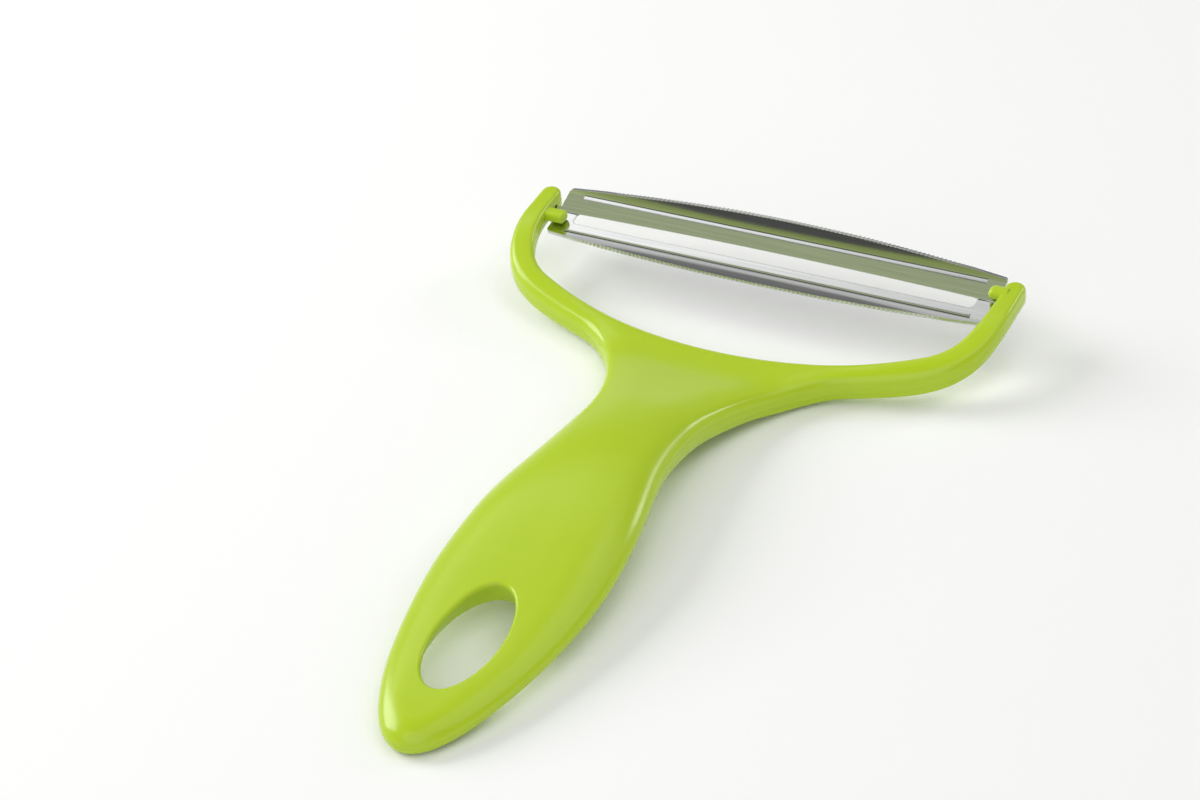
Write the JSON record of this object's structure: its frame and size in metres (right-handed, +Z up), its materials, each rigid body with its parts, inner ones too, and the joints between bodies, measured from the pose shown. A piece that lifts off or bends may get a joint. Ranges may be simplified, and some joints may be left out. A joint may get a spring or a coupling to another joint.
{
  "type": "wide vegetable peeler",
  "caption": "Wide hand peeler: a curved moulded handle with a forked head carries a slotted steel blade that swivels between the arm tips.",
  "frame": {"origin": "middle of the underside of the bounding box", "axes": "+X along the blade, +Y from the handle end to the blade, +Z up when the peeler lies on a table"},
  "size_m": [0.1134, 0.1672, 0.0146],
  "materials": {
    "green_plastic": "glossy moulded",
    "steel_sheet": "satin"
  },
  "bodies": {
    "handle": {"handle": "green_plastic"},
    "blade": {"blade": "steel_sheet"}
  },
  "joints": [
    {"name": "blade_swivel", "type": "hinge", "parent": "handle", "child": "blade", "pos_m": [0, 0.07555, 0.01113], "axis": [1, 0, 0], "range_deg": [-4, 10]}
  ]
}
